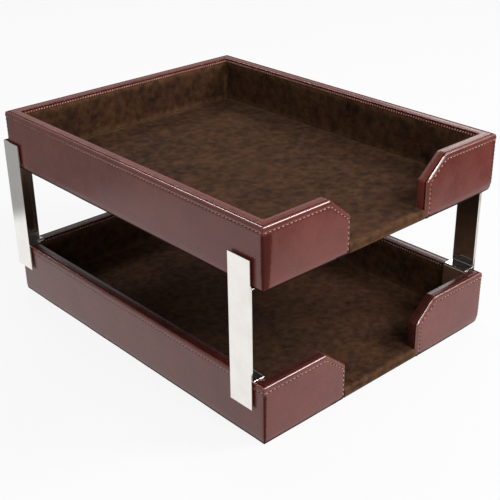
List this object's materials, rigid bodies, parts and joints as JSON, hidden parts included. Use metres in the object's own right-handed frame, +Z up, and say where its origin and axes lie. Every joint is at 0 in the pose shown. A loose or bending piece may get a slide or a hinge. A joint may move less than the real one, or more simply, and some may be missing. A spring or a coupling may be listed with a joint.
{
  "type": "double letter tray",
  "caption": "Open leather-covered letter tray carried above a matching one on loose bent-metal corner posts that saddle its walls, each lined in velveteen with a front finger opening.",
  "frame": {"origin": "centre of the lower tray's underside", "axes": "+Z up, +X to the right as seen from the front, +Y from the front with its finger openings to the rear"},
  "size_m": [0.2724, 0.3476, 0.1816],
  "materials": {
    "leather": "smooth semi-gloss chocolate brown, stitched along its free edges",
    "velveteen": "dark brown short pile with a brushed nap",
    "felt": "dark brown pressed felt",
    "board": "bare fibreboard",
    "nickel": "mirror-polished nickel plate"
  },
  "bodies": {
    "lower_tray": {"lower_base_felt": "felt", "lower_base_board": "board", "lower_left_wall_board": "board", "lower_right_wall_board": "board", "lower_rear_wall_board": "board", "lower_front_left_wall_board": "board", "lower_front_right_wall_board": "board", "lower_left_leather_panel": "leather", "lower_right_leather_panel": "leather", "lower_rear_leather_panel": "leather", "lower_front_left_leather_panel": "leather", "lower_front_right_leather_panel": "leather", "lower_leather_edge_binding": "leather", "lower_floor_lining": "velveteen", "lower_left_lining": "velveteen", "lower_right_lining": "velveteen", "lower_rear_lining": "velveteen", "lower_front_left_lining": "velveteen", "lower_front_right_lining": "velveteen"},
    "front_left_post": {"front_left_post_strip": "nickel", "front_left_post_saddle": "nickel"},
    "front_right_post": {"front_right_post_strip": "nickel", "front_right_post_saddle": "nickel"},
    "rear_left_post": {"rear_left_post_angle": "nickel", "rear_left_post_saddle": "nickel"},
    "rear_right_post": {"rear_right_post_angle": "nickel", "rear_right_post_saddle": "nickel"},
    "upper_tray": {"upper_base_felt": "felt", "upper_base_board": "board", "upper_left_wall_board": "board", "upper_right_wall_board": "board", "upper_rear_wall_board": "board", "upper_front_left_wall_board": "board", "upper_front_right_wall_board": "board", "upper_left_leather_panel": "leather", "upper_right_leather_panel": "leather", "upper_rear_leather_panel": "leather", "upper_front_left_leather_panel": "leather", "upper_front_right_leather_panel": "leather", "upper_leather_edge_binding": "leather", "upper_floor_lining": "velveteen", "upper_left_lining": "velveteen", "upper_right_lining": "velveteen", "upper_rear_lining": "velveteen", "upper_front_left_lining": "velveteen", "upper_front_right_lining": "velveteen"}
  },
  "joints": [
    {"name": "rear_left_post_lift", "type": "slide", "parent": "lower_tray", "child": "rear_left_post", "axis": [0, 0, 1], "range_m": [0, 0.04]},
    {"name": "front_left_post_lift", "type": "slide", "parent": "lower_tray", "child": "front_left_post", "axis": [0, 0, 1], "range_m": [0, 0.04]},
    {"name": "front_right_post_lift", "type": "slide", "parent": "lower_tray", "child": "front_right_post", "axis": [0, 0, 1], "range_m": [0, 0.04]},
    {"name": "rear_right_post_lift", "type": "slide", "parent": "lower_tray", "child": "rear_right_post", "axis": [0, 0, 1], "range_m": [0, 0.04]},
    {"name": "upper_tray_lift", "type": "slide", "parent": "rear_left_post", "child": "upper_tray", "axis": [0, 0, 1], "range_m": [0, 0.04]}
  ],
  "couplings": [
    {"joint": "front_left_post_lift", "follows": "rear_left_post_lift", "ratio": 1},
    {"joint": "front_right_post_lift", "follows": "rear_left_post_lift", "ratio": 1},
    {"joint": "rear_right_post_lift", "follows": "rear_left_post_lift", "ratio": 1}
  ]
}
